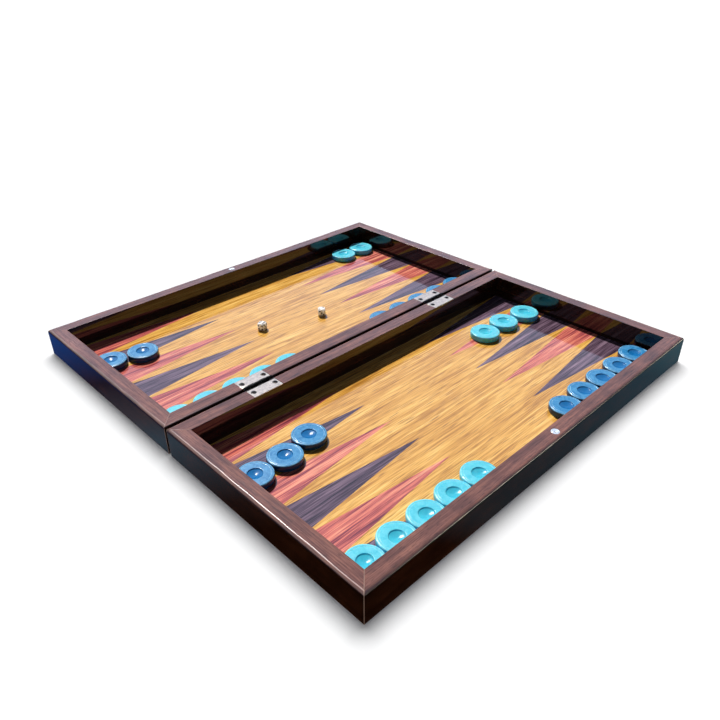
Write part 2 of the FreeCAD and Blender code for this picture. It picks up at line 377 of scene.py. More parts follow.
def wood(paint, axis, band, streak, pore, wander, shift):
    """Three grey patterns of straight-grained wood: broad bands, crisp streaks, and pores (1 inside them).
    The sizes are pairs, across the grain and along it, in millimetres."""
    place = fibre_place(paint, axis, wander)
    bands = paint.noise(along(axis, *band), detail=3.0, roughness=0.55, place=place, shift=shift)
    fine = paint.noise(along(axis, *streak), detail=4.0, roughness=0.6, place=place, shift=shift + 5.0)
    broad = along(axis, 2.7 * streak[0], 1.8 * streak[1])
    coarse = paint.noise(broad, detail=3.0, roughness=0.6, place=place, shift=shift + 9.0)
    both = paint.math("ADD", paint.math("MULTIPLY", fine, 0.88), paint.math("MULTIPLY", coarse, 0.56))
    streaks = paint.math("SUBTRACT", both, 0.22)
    dots = paint.noise(along(axis, *pore), detail=1.0, place=place, shift=shift + 11.0)
    return bands, streaks, paint.ramp(dots, [(0.30, 1.0), (0.42, 0.0)])


def lacquered(paint, colour, streaks, pores):
    """Wood under clear lacquer: glossy, with a slight orange peel and the grain just showing through."""
    peel = paint.noise(grey(7.0), detail=2.0)
    normal = paint.bump(peel, 0.006)
    normal = paint.bump(paint.math("SUBTRACT", streaks, pores), 0.012, under=normal)
    haze = paint.noise(grey(45.0), detail=3.0, shift=8.0)
    rough = paint.math("ADD", paint.math("MULTIPLY", haze, 0.05), 0.025)
    return paint.finish(Base_Color=colour, Roughness=rough, IOR=1.46, Normal=normal)


def veneer(name, stops, streak_share, pore_colour, pore_share, shift, band, streak):
    """A playing-surface veneer with its grain along the board's fold."""
    paint = Paint(name)
    bands, streaks, pores = wood(paint, 1, band, streak, (0.85, 22.0), 2.5, shift)
    level = paint.math("ADD", paint.math("MULTIPLY", bands, 1 - streak_share),
                       paint.math("MULTIPLY", streaks, streak_share))
    colour = paint.ramp(level, stops)
    colour = paint.mix(paint.math("MULTIPLY", pores, pore_share), colour, pore_colour)
    return lacquered(paint, colour, streaks, pores)


def mitre_highlight_lines(paint, facing):
    """1 within the painted highlight line along each mitre, on the rails' tops and outer faces, and 0
    elsewhere.
    """
    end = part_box("right_outer_rail")[1].y / MM
    outer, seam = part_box("right_outer_rail")[1].x / MM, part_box("right_bar_rail")[0].x / MM
    x, y = (paint.math("ABSOLUTE", paint.part(paint.place, axis)) for axis in (0, 1))
    at_outer = paint.math("ABSOLUTE", paint.math("SUBTRACT", paint.math("SUBTRACT", x, y), outer - end))
    at_seam = paint.math("ABSOLUTE", paint.math("SUBTRACT", paint.math("ADD", x, y), seam + end))
    near_end = paint.math("GREATER_THAN", y, end - 2.0)
    shown = paint.math("MAXIMUM", near_end, paint.math("GREATER_THAN", facing, 0.3))
    near_mitre = paint.math("LESS_THAN", paint.math("MINIMUM", at_outer, at_seam), MITRE_LINE)
    in_corner = paint.math("GREATER_THAN", y, end - 20.0)
    return paint.math("MULTIPLY", paint.math("MULTIPLY", near_mitre, in_corner), shown)


SIDE_ROUGH, ROUNDING_ROUGH, TOP_ROUGH = 0.04, 0.34, 0.06      # of a rail's polished sides, roundings and top
# the second colour is the pale painted highlight along each mitre
WALNUT_PORE, MITRE_HIGHLIGHT = (0.012, 0.006, 0.004), (0.62, 0.42, 0.34)


def walnut(name, axis, lit_top_stops, shaded_side_stops):
    """A rail's dark wood with its grain along one axis: polished sides, rubbed roundings, and a satin top.
    Sides and top take colours from separate stops; for the rails the sides are painted darker as painted
    shade and the top lighter as painted light."""
    paint = Paint(name)
    bands, streaks, pores = wood(paint, axis, (4.0, 110.0), (0.9, 22.0), (0.5, 7.0), 1.6, 20.0 + axis)
    cloud = paint.noise(grey(24.0), detail=3.0, shift=6.0)
    level = paint.math("ADD", paint.math("MULTIPLY", bands, 0.30), paint.math("MULTIPLY", streaks, 0.45))
    level = paint.math("ADD", level, paint.math("MULTIPLY", cloud, 0.25))
    facing = paint.part(paint.coordinates.outputs["Normal"], 2)
    upward = paint.ramp(facing, [(0.35, 0.0), (0.95, 1.0)])
    # painted light and shade: faces turned upwards take the lit top colours, upright faces the darker shaded
    # colours, blended across the roundings
    colour = paint.mix(upward, paint.ramp(level, shaded_side_stops), paint.ramp(level, lit_top_stops))
    colour = paint.mix(paint.math("MULTIPLY", pores, 0.55), colour, WALNUT_PORE)
    # painted highlight: a pale line along each mitre
    colour = paint.mix(paint.math("MULTIPLY", mitre_highlight_lines(paint, facing), 0.6), colour, MITRE_HIGHLIGHT)
    peel = paint.bump(paint.noise(grey(9.0), detail=2.0), 0.008)
    grain = paint.math("MULTIPLY", paint.math("SUBTRACT", streaks, pores),
                       paint.math("ADD", paint.math("MULTIPLY", upward, 0.75), 0.25))
    normal = paint.bump(grain, 0.008, under=peel)
    worn = paint.noise(along(axis, 12.0, 60.0), detail=4.0, roughness=0.65, shift=2.0)
    satin = paint.math("ADD", paint.math("MULTIPLY", worn, 0.10), TOP_ROUGH)
    rounded = paint.mix(upward, grey(SIDE_ROUGH), grey(ROUNDING_ROUGH))
    flat = paint.ramp(facing, [(0.993, 0.0), (0.9996, 1.0)])
    rough = paint.mix(flat, rounded, satin)
    sheen = paint.mix(upward, grey(0.5), grey(0.32))
    return paint.finish(Base_Color=colour, Roughness=rough, IOR=1.56, Specular_IOR_Level=sheen, Normal=normal)


# a checker's worn ring and rim, by radius in units of 20 mm
WORN_LINES = [(0.665, 0.0), (0.683, 1.0), (0.707, 1.0), (0.725, 0.0), (0.765, 0.0), (0.785, 1.0)]


def plastic(name, colour, pale, side, dish, worn, clear):
    """Polished cast plastic: faint cloudy swirls and flecks, turning marks, scuffs and a slight orange peel.
    A checker's side is painted in a tone of its own, darker as painted shade on the blue checkers and lighter
    as painted light on the turquoise ones. The dish is painted darker as painted shade in the hollow, and the
    worn ring and rim have a paler tone. Clear is how far light soaks in, in mm."""
    paint = Paint(name)
    chance = paint.node("ShaderNodeObjectInfo", {}, output="Random")
    shifted = paint.vector("ADD", paint.place, paint.joined(paint.math("MULTIPLY", chance, 400.0), 0.0, 0.0))
    cloud = paint.noise(grey(6.0), detail=4.0, distortion=1.2, place=shifted)
    tint = paint.mix(paint.ramp(cloud, [(0.35, 0.0), (0.75, 1.0)]), colour, pale)
    flecks = paint.noise(grey(0.9), detail=3.0, place=shifted, shift=4.0)
    tint = paint.mix(paint.ramp(flecks, [(0.52, 0.0), (0.70, 0.65)]), tint, pale)
    level = paint.vector("MULTIPLY", paint.place, (1, 1, 0))
    radius = paint.node("ShaderNodeVectorMath", {0: level}, output="Value", operation="LENGTH")
    in_dish = paint.ramp(paint.math("DIVIDE", radius, 10.0), [(0.66, 1.0), (0.70, 0.0)])
    # painted shade: the hollow in the middle is coloured darker
    tint = paint.mix(in_dish, tint, dish)
    lines = paint.ramp(paint.math("DIVIDE", radius, 20.0), WORN_LINES)
    patches = paint.noise(grey(2.5), detail=3.0, place=shifted, shift=9.0)
    patchy = paint.ramp(patches, [(0.32, 0.15), (0.6, 0.85)])
    tint = paint.mix(paint.math("MULTIPLY", lines, patchy), tint, worn)
    facing = paint.math("ABSOLUTE", paint.part(paint.coordinates.outputs["Normal"], 2))
    # painted light and shade: the upright side takes the side colour, darker or lighter than the top
    tint = paint.mix(paint.ramp(facing, [(0.15, 1.0), (0.75, 0.0)]), tint, side)
    turning = paint.noise((0.35, 1.0, 1.0), detail=2.0, place=paint.joined(radius, 0.0, 0.0))
    scuffs = paint.noise((0.5, 5.0, 5.0), detail=3.0, distortion=2.0, place=shifted)
    scratched = paint.ramp(scuffs, [(0.60, 0.0), (0.72, 1.0)])
    normal = paint.bump(paint.noise(grey(3.0), detail=2.0, place=shifted), 0.012)
    normal = paint.bump(turning, 0.008, under=normal)
    gloss = paint.math("ADD", paint.math("MULTIPLY", scratched, 0.10), 0.21)
    return paint.finish(Base_Color=tint, Roughness=gloss, IOR=1.40, Normal=normal,
                        Specular_IOR_Level=paint.mix(in_dish, grey(0.5), grey(0.22)),
                        Subsurface_Weight=0.6 if clear else 0.0, Subsurface_Radius=(0.3, 0.9, 1.0),
                        Subsurface_Scale=clear * MM)


def die_plastic():
    """Ivory-white plastic; the PIP attribute is 1 inside the pips, which are filled with black."""
    paint = Paint("ivory_plastic")
    pip = paint.node("ShaderNodeAttribute", {}, output="Fac", attribute_name="PIP")
    cloud = paint.noise(grey(2.5), detail=3.0)
    white = paint.mix(cloud, (0.88, 0.87, 0.86), (0.97, 0.96, 0.96))
    ink = paint.ramp(pip, [(0.35, 0.0), (0.6, 1.0)])
    colour = paint.mix(ink, white, (0.012, 0.012, 0.014))
    normal = paint.bump(paint.noise(grey(0.6), detail=2.0), 0.004)
    rough = paint.mix(ink, grey(0.14), grey(0.4))
    return paint.finish(Base_Color=colour, Roughness=rough, IOR=1.5, Normal=normal, Subsurface_Weight=0.9,
                        Subsurface_Radius=(1.0, 1.0, 1.0), Subsurface_Scale=7.0 * MM)


def metal(name, colour, dull, rough, brushed=(0.25, 14.0, 14.0), shine=1.0):
    """Brushed plate metal with cloudy tarnish and small scratches; shine is how much of it is bare metal."""
    paint = Paint(name)
    tarnish = paint.noise((3.0, 4.0, 3.0), detail=5.0, roughness=0.65)
    tint = paint.mix(paint.ramp(tarnish, [(0.35, 0.0), (0.7, 1.0)]), dull, colour)
    lines = paint.noise(brushed, detail=3.0)
    normal = paint.bump(lines, 0.004)
    gloss = paint.math("ADD", paint.math("MULTIPLY", tarnish, 0.08), rough)
    return paint.finish(Base_Color=tint, Roughness=gloss, Metallic=shine, Normal=normal)


def plywood():
    """Plain sanded plywood, for the base panels between the outer skin and the playing veneer."""
    paint = Paint("plywood")
    bands, streaks, pores = wood(paint, 0, (14.0, 300.0), (2.0, 40.0), (0.6, 6.0), 4.0, 40.0)
    colour = paint.ramp(paint.math("MULTIPLY", paint.math("ADD", bands, streaks), 0.5),
                        [(0.3, (0.36, 0.22, 0.11)), (0.7, (0.58, 0.40, 0.22))])
    colour = paint.mix(pores, colour, (0.22, 0.12, 0.06))
    return paint.finish(Base_Color=colour, Roughness=0.6, IOR=1.5, Normal=paint.bump(streaks, 0.04))


# ---- palette -------------------------------------------------------------------------------------
GROUND = veneer("ground_veneer", [(0.34, (0.38, 0.162, 0.026)), (0.45, (0.62, 0.308, 0.056)),
                                  (0.55, (0.81, 0.460, 0.106)), (0.66, (0.96, 0.640, 0.205))],
                0.78, (0.30, 0.12, 0.025), 0.8, 0.0, band=(9.0, 380.0), streak=(1.3, 60.0))
RED = veneer("red_veneer", [(0.36, (0.12, 0.023, 0.045)), (0.45, (0.39, 0.078, 0.082)),
                            (0.54, (0.73, 0.200, 0.145)), (0.64, (0.90, 0.40, 0.26))],
             0.62, (0.10, 0.02, 0.03), 0.45, 13.0, band=(5.0, 210.0), streak=(1.1, 50.0))
PURPLE = veneer("purple_veneer", [(0.36, (0.012, 0.007, 0.013)), (0.45, (0.070, 0.041, 0.065)),
                                  (0.54, (0.150, 0.094, 0.140)), (0.65, (0.30, 0.20, 0.27))],
                0.62, (0.010, 0.007, 0.012), 0.5, 27.0, band=(4.5, 190.0), streak=(1.0, 45.0))
# rail tops painted lighter as painted light, rail sides painted much darker as painted shade
LIT_TOP_STOPS = [(0.34, (0.042, 0.015, 0.012)), (0.5, (0.168, 0.066, 0.047)), (0.66, (0.33, 0.138, 0.094))]
SHADED_SIDE_STOPS = [(0.34, (0.006, 0.0015, 0.0007)), (0.5, (0.024, 0.0070, 0.003)), (0.66, (0.070, 0.020, 0.008))]
WALNUT = {axis: walnut("walnut_along_" + "xy"[axis], axis, LIT_TOP_STOPS, SHADED_SIDE_STOPS) for axis in (0, 1)}
SKIN_STOPS = [(0.32, (0.018, 0.008, 0.005)), (0.5, (0.050, 0.021, 0.013)), (0.66, (0.095, 0.042, 0.026))]
SKIN = walnut("walnut_skin", 1, SKIN_STOPS, SKIN_STOPS)
PLYWOOD = plywood()
# the fourth colour of each is the side's tone, painted shade for blue and painted light for turquoise; the
# fifth is the dish's darker painted shade
TURQUOISE = plastic("turquoise_plastic", (0.068, 0.56, 0.74), (0.17, 0.69, 0.85), (0.10, 0.64, 0.87),
                    (0.055, 0.51, 0.69), (0.30, 0.76, 0.88), clear=3.0)
BLUE = plastic("blue_plastic", (0.010, 0.178, 0.45), (0.080, 0.34, 0.64), (0.004, 0.050, 0.16),
               (0.009, 0.150, 0.41), (0.25, 0.53, 0.76), clear=0.0)
IVORY = die_plastic()
NICKEL = metal("hinge_nickel", (0.74, 0.62, 0.50), (0.42, 0.36, 0.31), 0.10, shine=0.55)
# near-black knuckles: painted shade that stands for the dark gap between the hinge leaves
KNUCKLE_SHADE = metal("knuckle_shade", (0.005, 0.004, 0.004), (0.002, 0.002, 0.002), 0.45)
SCREW_STEEL = metal("screw_steel", (0.030, 0.028, 0.026), (0.010, 0.010, 0.010), 0.3)
PIN_STEEL = metal("pin_steel", (0.10, 0.10, 0.10), (0.04, 0.04, 0.04), 0.3)
MAGNET = metal("magnet_nickel", (0.92, 0.90, 0.84), (0.72, 0.74, 0.72), 0.10, brushed=grey(1.0), shine=0.7)


# ---- rails ---------------------------------------------------------------------------------------
def rail_outline(width, floor, foot, top, outer_round):
    """The rail's section, as (distance from the outer face, height), with the base's rebate."""
    outer = arc((outer_round, top - outer_round), outer_round, 180, 90, ARC_STEPS)
    inner = arc((width - INNER_ROUND, top - INNER_ROUND), INNER_ROUND, 90, 0, ARC_STEPS // 2)
    return ([(FOOT_EASE, foot), (0, foot + FOOT_EASE)] + outer + inner
            + [(width, floor), (width - REBATE, floor), (width - REBATE, foot)])


def rail(node, axis, inward, outer_round, floor):
    """One mitred rail that fills its CAD node's box. Its outer radius wavers a little along its length."""
    lo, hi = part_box(node)
    across = 1 - axis
    outer = lo[across] if inward > 0 else hi[across]
    width, length, top = hi[across] - lo[across], hi[axis] - lo[axis], hi.z
    straight_length = length - 2 * width
    steps = math.ceil(straight_length / RAIL_STEP)
    stations = [(None, 0.0, MITRE_EASE), (None, MITRE_EASE, 0.0)]
    stations += [(width + straight_length * step / steps, None, 0.0) for step in range(steps + 1)]
    stations += [(None, length - MITRE_EASE, 0.0), (None, length, MITRE_EASE)]
    verts = []
    for straight, mitred, ease in stations:
        middle = length / 2 if straight is None else straight
        wave = noise.noise(Vector((outer, middle / ROUND_WAVELENGTH, inward)))
        radius = outer_round * (1 + ROUND_WAVE * wave)
        for u, z in rail_outline(width, floor, lo.z, top, radius):
            if straight is not None:
                distance = straight
            elif mitred < length / 2:
                distance = mitred + u
            else:
                distance = mitred - u
            u += ease * (1 - 2 * u / width)
            z += ease * (1 - 2 * (z - lo.z) / (top - lo.z))
            point = [0.0, 0.0, z]
            point[axis] = lo[axis] + distance
            point[across] = outer + inward * u
            verts.append(point)
    return mesh_object(node + "_wood", verts, capped(len(stations), len(verts) // len(stations)))


def hinge_mortises(half, side, top):
    """Cutting blocks for the pockets of one half's hinge leaves and for the notches of the knuckles."""
    tools = []
    for place in ("front", "back"):
        lo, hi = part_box("%s_hinge_%s_leaf" % (place, half))
        y0, y1 = lo.y - MORTISE_GAP, hi.y + MORTISE_GAP
        seam = side * (LEAF_FLAT - MORTISE_GAP)
        far = side * (max(abs(lo.x), abs(hi.x)) + 2 * MM)
        near = min(side * LEAF_FLAT, 0.0), max(side * LEAF_FLAT, 0.0)
        tools.append(block("pocket", min(seam, far), max(seam, far), y0, y1,
                           top - LEAF_THICKNESS - MORTISE_GAP, top + MM))
        tools.append(block("notch", near[0], near[1], y0, y1, top - NOTCH_DEPTH, top + MM))
    return tools


def rails(half, side):
    """The four rails of one half."""
    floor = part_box(half + "_play_surface")[0].z
    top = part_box(half + "_bar_rail")[1].z
    bar = rail(half + "_bar_rail", 1, side, SEAM_ROUND, floor)
    combine(bar, hinge_mortises(half, side, top), "DIFFERENCE")
    outer = rail(half + "_outer_rail", 1, -side, OUTER_ROUND, floor)
    lo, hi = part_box(half + "_magnet")
    radius, foot = (hi.x - lo.x) / 2 + MORTISE_GAP, lo.z - MORTISE_GAP
    hole = lathe("hole", [(0, foot), (radius, foot), (radius, top + MM), (0, top + MM)])
    combine(outer, [settled(placed(hole, (lo.x + hi.x) / 2, (lo.y + hi.y) / 2, 0))], "DIFFERENCE")
    front = rail(half + "_front_rail", 0, 1, OUTER_ROUND, floor)
    back = rail(half + "_back_rail", 0, -1, OUTER_ROUND, floor)
    for piece, name, axis in ((bar, "bar", 1), (outer, "outer", 1), (front, "front", 0), (back, "back", 0)):
        stand_for(smooth(piece), "%s_%s_rail" % (half, name), WALNUT[axis])


# ---- hinges --------------------------------------------------------------------------------------
def leaf(place, half, side, first):
    """One hinge leaf: an eased plate, countersunk for two screws, with every second knuckle."""
    node = "%s_hinge_%s_leaf" % (place, half)
    lo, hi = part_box(node)
    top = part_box(half + "_bar_rail")[1].z
    reach = max(abs(lo.x), abs(hi.x))
    corner = LEAF_CORNER
    outline = [(LEAF_FLAT, lo.y), *arc((reach - corner, lo.y + corner), corner, -90, 0, 6),
               *arc((reach - corner, hi.y - corner), corner, 0, 90, 6), (LEAF_FLAT, hi.y)]
    outline = [(side * x, y) for x, y in outline]
    plate = prism(node + "_plate", outline, top - LEAF_THICKNESS, top, ease=LEAF_EASE)
    radius, pin_z = (hi.z - lo.z) / 2, (hi.z + lo.z) / 2
    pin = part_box(place + "_hinge_pin")
    bore = (pin[1].z - pin[0].z) / 2 + PIN_CLEARANCE
    step = (pin[1].y - pin[0].y) / KNUCKLES
    start = pin[0].y
    for number in range(first, KNUCKLES, 2):
        y0 = start + number * step + KNUCKLE_GAP / 2
        y1 = y0 + step - KNUCKLE_GAP
        ease = LEAF_EASE
        barrel = lathe("barrel", [(0, y0), (radius - ease, y0), (radius, y0 + ease), (radius, y1 - ease),
                                  (radius - ease, y1), (0, y1)], steps=40, axis="Y")
        tip = side * (LEAF_FLAT + 0.5 * MM)
        tongue = block("tongue", min(0.0, tip), max(0.0, tip), y0, y1, top - LEAF_THICKNESS, top)
        combine(plate, [settled(placed(barrel, 0, 0, pin_z)), tongue], "UNION")
    hole = lathe("bore", [(0, start - MM), (bore, start - MM), (bore, pin[1].y + MM), (0, pin[1].y + MM)],
                 steps=40, axis="Y")
    tools = [settled(placed(hole, 0, 0, pin_z))]
    middle = (pin[0].y + pin[1].y) / 2
    tools.append(settled(placed(stamp(*STAMP), side * (LEAF_FLAT + reach) / 2, middle, top)))
    for end in (-1, 1):
        y = middle + end * SCREW_SPACING / 2
        tools.append(settled(placed(countersink(), side * SCREW_FROM_SEAM, y, top)))
    combine(plate, tools, "DIFFERENCE")
    stand_for(smooth(plate), node, NICKEL, KNUCKLE_SHADE)
    # the knuckles and tongues near the seam take the near-black painted shade
    for face in plate.data.polygons:
        face.material_index = 1 if abs(face.center.x) < LEAF_FLAT - 0.05 * MM else 0


def stamp(across, length, depth):
    """The cutter for a shallow sunk panel with rounded corners and sloping sides."""
    corner = across * 0.25
    outline = []
    for x, y, start in ((1, 1, 0), (-1, 1, 90), (-1, -1, 180), (1, -1, 270)):
        outline += arc((x * (across / 2 - corner), y * (length / 2 - corner)), corner, start, start + 90, 5)
    levels = ((-depth, 1 - 2 * depth / across), (0.0, 1.0), (MM, 1.0))
    verts = [(x * share, y * share, z) for z, share in levels for x, y in outline]
    return mesh_object("stamp", verts, capped(len(levels), len(outline)))


def countersink():
    """The cutter for a screw head's conical seat, right through a leaf."""
    grown = SCREW_HEAD + MORTISE_GAP
    deep = 2 * LEAF_THICKNESS
    slope = grown - deep + SUNK
    return lathe("countersink", [(0, -deep), (slope, -deep), (grown, -SUNK), (grown, MM), (0, MM)], steps=48)


def cross_outline(arm, width):
    """The corners of a cross, from half the length and half the width of its arms."""
    return [(width, arm), (-width, arm), (-width, width), (-arm, width), (-arm, -width), (-width, -width),
            (-width, -arm), (width, -arm), (width, -width), (arm, -width), (arm, width), (width, width)]


def cross_cutter():
    """The cutter for a driver slot: a cross that tapers downwards from the screw's top."""
    levels = ((0.45, -CROSS_DEPTH), (1.0, 0.0), (1.0, MM))
    verts = []
    for share, z in levels:
        outline = cross_outline(CROSS_ARM * share, CROSS_WIDTH * (0.5 + share / 2))
        verts += [(x, y, z) for x, y in outline]
    return mesh_object("cross", verts, capped(len(levels), len(outline)))


def screws(half, side):
    """The four countersunk screws of one half, each stopped at its own turn."""
    node = half + "_hinge_screws"
    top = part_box(half + "_bar_rail")[1].z - SUNK
    cone = SCREW_HEAD - SCREW_SHANK
    dome = 0.12 * MM
    outline = [(0, 0), (SCREW_HEAD * 0.5, -dome * 0.2), (SCREW_HEAD - 0.15 * MM, -dome * 0.8),
               (SCREW_HEAD, -0.2 * MM), (SCREW_SHANK, -cone - 0.1 * MM), (SCREW_SHANK, 2 * MM - SCREW_LENGTH),
               (0, -SCREW_LENGTH)]
    draw = random.Random(7 + side)
    made = []
    for place in ("front", "back"):
        lo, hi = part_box(place + "_hinge_pin")
        for end in (-1, 1):
            screw = combine(lathe("screw", outline, steps=64), [cross_cutter()], "DIFFERENCE")
            y = (lo.y + hi.y) / 2 + end * SCREW_SPACING / 2
            made.append(settled(placed(screw, side * SCREW_FROM_SEAM, y, top, turn=draw.uniform(20, 70))))
    stand_for(smooth(merged(node + "_heads", made)), node, SCREW_STEEL)


def merged(name, pieces):
    """Separate closed solids as one object."""
    work = bmesh.new()
    for piece in pieces:
        work.from_mesh(piece.data)
    mesh = bpy.data.meshes.new(name)
    work.to_mesh(mesh)
    work.free()
    for piece in pieces:
        bpy.data.objects.remove(piece)
    return scene_object(name, mesh)


def hinge_pin(place):
    """One hinge's pin, a rod with eased ends."""
    node = place + "_hinge_pin"
    lo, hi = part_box(node)
    radius, ease = (hi.z - lo.z) / 2, 0.25 * MM
    outline = [(0, lo.y), (radius - ease, lo.y), (radius, lo.y + ease), (radius, hi.y - ease),
               (radius - ease, hi.y), (0, hi.y)]
    pin = placed(lathe(node + "_rod", outline, steps=40, axis="Y"), 0, 0, (hi.z + lo.z) / 2)
    stand_for(smooth(settled(pin)), node, PIN_STEEL)


def magnet(half):
    """One half's disc magnet, with a fine ring and a centre mark in its face."""
    node = half + "_magnet"
    lo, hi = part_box(node)
    radius, height, ease = (hi.x - lo.x) / 2, hi.z - lo.z, 0.3 * MM
    outline = [(0, 0), (radius - ease, 0), (radius, ease)]
    outline += arc((radius - ease, height - ease), ease, 0, 90, 4)
    groove, width, dimple = radius * 0.72, 0.25 * MM, 0.9 * MM
    outline += [(groove + width, height), (groove, height - width), (groove - width, height)]
    outline += [(dimple, height), (dimple * 0.6, height - width), (0, height - width)]
    disc = placed(lathe(node + "_disc", outline), (lo.x + hi.x) / 2, (lo.y + hi.y) / 2, lo.z)
    stand_for(smooth(settled(disc)), node, MAGNET)


# ---- checkers and dice ---------------------------------------------------------------------------
def face_outline(radius, half):
    """Half outline of a checker's upper face, from the axis to the middle of its edge."""
    wall_foot = DISH_RADIUS - LIP_ROUND - 0.25 * MM
    points = []
    for step in range(BOWL_STEPS + 1):
        share = step / BOWL_STEPS
        points.append((wall_foot * share, half - DISH_DEPTH + (DISH_DEPTH - DISH_WALL) * share ** 1.5))
    points += arc((DISH_RADIUS, half - LIP_ROUND), LIP_ROUND, 165, 90, 5)
    points += [(DISH_RADIUS + FLAT_MARGIN, half), (RING_RADIUS - RING_WIDTH / 2 - FLAT_MARGIN, half)]
    for step in range(RING_STEPS + 1):
        share = step / RING_STEPS - 0.5
        depth = RING_DEPTH * (1 + math.cos(math.tau * share)) / 2
        points.append((RING_RADIUS + RING_WIDTH * share, half - depth))
    points += [(RING_RADIUS + RING_WIDTH / 2 + FLAT_MARGIN, half), (radius - EDGE_ROUND - FLAT_MARGIN, half)]
    points += arc((radius - EDGE_ROUND, half - EDGE_ROUND), EDGE_ROUND, 90, 0, 9)
    return points


def checkers():
    """All the checkers of each colour share one turned shape, each set at its own turn."""
    draw = random.Random(21)
    for colour, material in (("turquoise", TURQUOISE), ("blue", BLUE)):
        names = sorted(name for name in NODES if name.startswith(colour + "_checker_"))
        shape = None
        for node in names:
            lo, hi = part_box(node)
            if shape is None:
                upper = face_outline((hi.x - lo.x) / 2, (hi.z - lo.z) / 2)
                turned = lathe(colour + "_checker", upper + [(r, -z) for r, z in reversed(upper)])
                shape = turned.data
                shape.shade_smooth()
                bpy.data.objects.remove(turned)
            centre = (lo + hi) / 2
            piece = placed(scene_object(node + "_turned", shape), *centre, turn=draw.uniform(0, 360))
            stand_for(piece, node, material)


def pip_places(number):
    """Places of the pips on a face, in units of the pip spacing."""
    corners = [(-1, -1), (1, 1), (-1, 1), (1, -1)]
    places = [(0, 0)] if number % 2 else []
    places += corners[:2] if number >= 2 else []
    places += corners[2:] if number >= 4 else []
    places += [(-1, 0), (1, 0)] if number == 6 else []
    return places


def die(node, turn, numbers):
    """A rounded cube of fine squares, dimpled and inked at its pips."""
    lo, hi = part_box(node)
    half = (hi.z - lo.z) / 2
    top, front, right = numbers
    faces = [(top, 2, 1), (7 - top, 2, -1), (front, 1, -1), (7 - front, 1, 1)]
    faces += [(right, 0, 1), (7 - right, 0, -1)]
    core = half - DIE_EDGE_ROUND
    verts, inked, quads = [], [], []
    for number, axis, sign in faces:
        pips = [(p, -q) if axis == 1 else (p, q) for p, q in pip_places(number)]
        first = len(verts)
        for i in range(DIE_GRID + 1):
            for j in range(DIE_GRID + 1):
                a, b = half * (2 * i / DIE_GRID - 1), half * (2 * j / DIE_GRID - 1)
                point = [0.0, 0.0, 0.0]
                point[axis], point[(axis + 1) % 3], point[(axis + 2) % 3] = sign * half, a, b
                kernel = Vector([max(-core, min(core, value)) for value in point])
                place = kernel + (Vector(point) - kernel).normalized() * DIE_EDGE_ROUND
                if place.length > DIE_BALL:
                    place *= DIE_BALL / place.length
                gaps = [math.hypot(a - p * PIP_SPACING, b - q * PIP_SPACING) for p, q in pips]
                away = min(gaps) / PIP_RADIUS
                if away < 1:
                    place[axis] -= sign * PIP_DEPTH * math.sqrt(1 - away ** 2)
                verts.append(place)
                inked.append(1.0 if away < 1 else 0.0)
        for i in range(DIE_GRID):
            for j in range(DIE_GRID):
                corner = first + i * (DIE_GRID + 1) + j
                quads.append((corner, corner + 1, corner + DIE_GRID + 2, corner + DIE_GRID + 1))
    piece = mesh_object(node + "_cube", verts, quads)
    mark = piece.data.attributes.new("PIP", "FLOAT", "POINT")
    mark.data.foreach_set("value", inked)
    work = bmesh.new()
    work.from_mesh(piece.data)
    bmesh.ops.remove_doubles(work, verts=work.verts, dist=DIE_WELD)
    bmesh.ops.recalc_face_normals(work, faces=work.faces)
    work.to_mesh(piece.data)
    work.free()
    piece.data.shade_smooth()
    placed(piece, (lo.x + hi.x) / 2, (lo.y + hi.y) / 2, (lo.z + hi.z) / 2, turn)
    stand_for(piece, node, IVORY)


# ---- the whole set -------------------------------------------------------------------------------
for half, side in HALVES.items():
    rails(half, side)
    finish_node(half + "_outer_skin", SKIN, SKIN_EASE)
    finish_node(half + "_base_panel", PLYWOOD, SKIN_EASE)
    finish_node(half + "_play_surface", GROUND, INLAY_EASE)
    finish_node(half + "_red_points", RED, INLAY_EASE)
    finish_node(half + "_dark_points", PURPLE, INLAY_EASE)
    screws(half, side)
    magnet(half)
    for place in ("front", "back"):
        leaf(place, half, side, 0 if half == "right" else 1)
for place in ("front", "back"):
    hinge_pin(place)
checkers()
for node, (turn, numbers) in DICE.items():
    die(node, turn, numbers)


# ---- floor, light and camera ---------------------------------------------------------------------
FLOOR_SIZE = 12.0             # half width, in metres
FLOOR_GLOW = 0.09             # what the floor gives out to the camera, so that shadows on it stay soft
FLOOR_BOUNCE = 0.8            # what it throws onto the sides
# how tinted the floor looks in reflections, from the front left of the set to its back right
FLOOR_TINTS = [(0.03, (0.012, 0.12, 0.52)), (0.14, (0.018, 0.024, 0.06)), (0.215, (0.12, 0.12, 0.16)),
               (0.26, (0.11, 0.20, 0.28)), (0.36, (0.020, 0.018, 0.022)), (0.40, (0.0, 0.0, 0.0)),
               (0.60, (0.0, 0.0, 0.0)), (0.637, (0.036, 0.070, 0.090)), (0.70, (0.037, 0.078, 0.103)),
               (0.90, (0.05, 0.14, 0.20)), (0.98, (0.11, 0.27, 0.34))]
TINTED_SPAN = 1120.0          # change in X plus Y over those tints, in millimetres
FILL = (0.036, 0.038, 0.044)
DOME, DOME_LEFT = (0.86, 1.05, 1.48), (1.06, 1.28, 1.80)
DARK_BAND = (0.02, 0.02, 0.025)
DIM_DOME = (0.10, 0.12, 0.16)
CARD = (2.6, 2.7, 2.8)
HORIZON = (20.0, 18.0, 14.5)

KEY_DIRECTION = (-0.595, 0.220, 0.773)
KEY = 4.6
SOFT_KEY = 0.22
FLOOR_KEY_DIRECTION = (-0.315, 0.315, 0.895)
FLOOR_KEY = 4.15
LAMP_WHITE, LAMP_WARM = (1.0, 1.0, 1.0), (1.0, 0.97, 0.92)

CAMERA_PLACE = (0.4619, -0.4456, 0.3931)
CAMERA_FORWARD = (-0.6132, 0.5894, -0.5259)
CAMERA_UP = (-0.3737, 0.3701, 0.8505)
CAMERA_LENS = 33.89           # millimetres, for a sensor 36 mm wide


